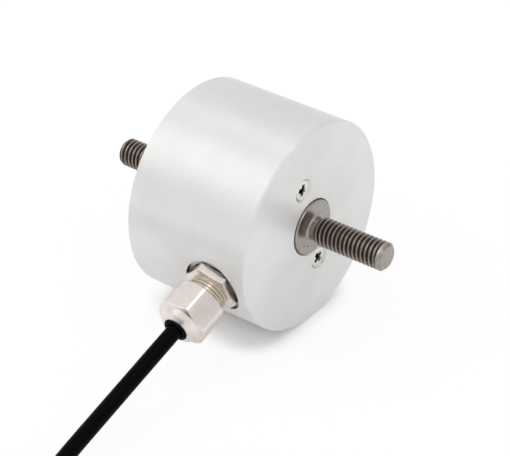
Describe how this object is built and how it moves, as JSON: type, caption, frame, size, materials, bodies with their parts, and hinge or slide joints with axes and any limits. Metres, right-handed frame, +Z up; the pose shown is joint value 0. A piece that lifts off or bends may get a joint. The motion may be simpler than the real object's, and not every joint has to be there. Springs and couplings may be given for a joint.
{
  "type": "weighing load cell",
  "caption": "Round aluminium load cell with a threaded stud at each end, a countersunk front face, and a side cable gland with a long coiled cable.",
  "frame": {"origin": "under the middle of the can on the surface it lies on, midway between the two stud tips", "axes": "+X along the load axis towards the front stud, +Z up, the cable gland on the -Y side"},
  "size_m": [0.0892, 0.2384, 0.06],
  "materials": {
    "anodised_aluminium": "satin",
    "stainless_steel": "satin",
    "spring_steel": "satin",
    "plated_steel": "polished",
    "nickel_plated_brass": "polished",
    "black_rubber": "matte",
    "natural_nylon": "matte",
    "gauge_foil": "gloss",
    "circuit_board": "gloss",
    "cable_jacket": "satin",
    "heat_shrink": "satin",
    "red_insulation": "satin",
    "white_insulation": "satin",
    "green_insulation": "satin",
    "black_insulation": "satin",
    "yellow_insulation": "satin"
  },
  "bodies": {
    "root": {"housing": "anodised_aluminium", "rear_cover": "anodised_aluminium", "cover_ring": "black_rubber", "sensing_element": "spring_steel", "front_stud": "stainless_steel", "rear_stud": "stainless_steel", "front_ring": "black_rubber", "rear_ring": "black_rubber", "housing_screws": "plated_steel", "strain_gauges": "gauge_foil", "terminal_board": "circuit_board", "inner_leads": "white_insulation", "gland_washer": "black_rubber", "gland_body": "nickel_plated_brass", "gland_insert": "black_rubber", "gland_cage": "natural_nylon", "gland_cap_nut": "nickel_plated_brass", "cable": "cable_jacket", "cable_coil": "cable_jacket", "coil_tie_near": "natural_nylon", "coil_tie_far": "natural_nylon", "cable_tail": "cable_jacket", "end_sleeve": "heat_shrink", "lead_red": "red_insulation", "lead_white": "white_insulation", "lead_screen": "yellow_insulation", "lead_green": "green_insulation", "lead_black": "black_insulation"}
  },
  "joints": []
}
